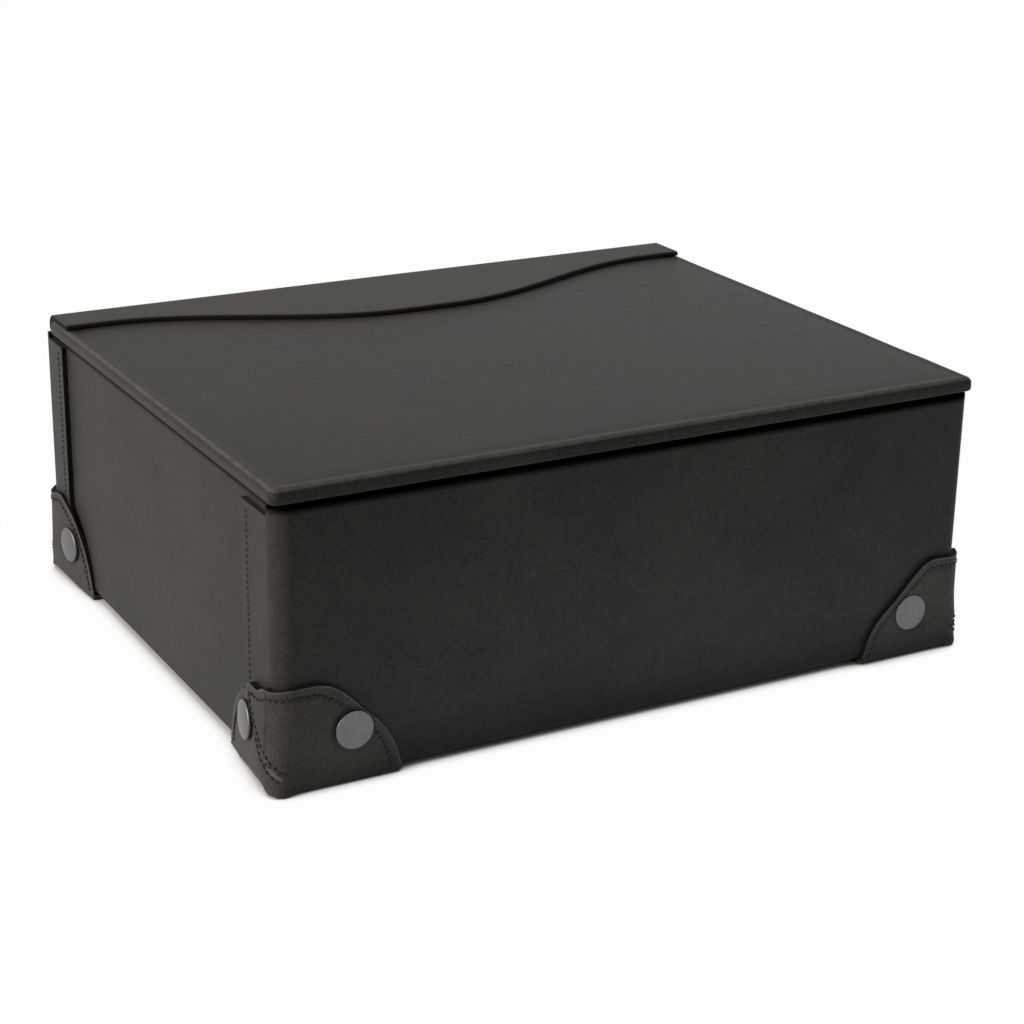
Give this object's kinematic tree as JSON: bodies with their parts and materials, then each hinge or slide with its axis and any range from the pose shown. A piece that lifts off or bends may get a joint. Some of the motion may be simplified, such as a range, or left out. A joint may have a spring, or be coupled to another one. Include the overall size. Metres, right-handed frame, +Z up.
{
  "type": "stationery box",
  "caption": "Leather-covered rigid box for papers with a leather-hinged lid, an ogee hinge flap and riveted, stitched leather corner protectors.",
  "frame": {"origin": "centre of the footprint, on the surface that the box stands on", "axes": "+X along the width to the right, +Y from the front to the hinge at the back, +Z up"},
  "size_m": [0.341, 0.283, 0.1293],
  "materials": {
    "hide": "smooth matte, thick",
    "skin": "smooth matte, thin",
    "board": "bare board",
    "lining": "woven",
    "rivet": "gunmetal, satin"
  },
  "bodies": {
    "box": {"base_board": "board", "front_board": "board", "back_board": "board", "left_board": "board", "right_board": "board", "base_cover": "lining", "front_leather": "hide", "back_leather": "hide", "left_leather": "skin", "right_leather": "skin", "floor_lining": "lining", "front_lining": "lining", "back_lining": "lining", "left_lining": "lining", "right_lining": "lining", "corner_front_left": "hide", "corner_front_right": "hide", "corner_rear_left": "hide", "corner_rear_right": "hide", "rivet_caps": "rivet", "rivet_posts": "rivet"},
    "lid": {"lid_board": "board", "lid_leather": "skin", "lid_lining": "lining", "hinge_flap": "hide"}
  },
  "joints": [
    {"name": "lid_hinge", "type": "hinge", "parent": "box", "child": "lid", "pos_m": [0, 0.1285, 0.1205], "axis": [-1, 0, 0], "range_deg": [0, 105]}
  ]
}
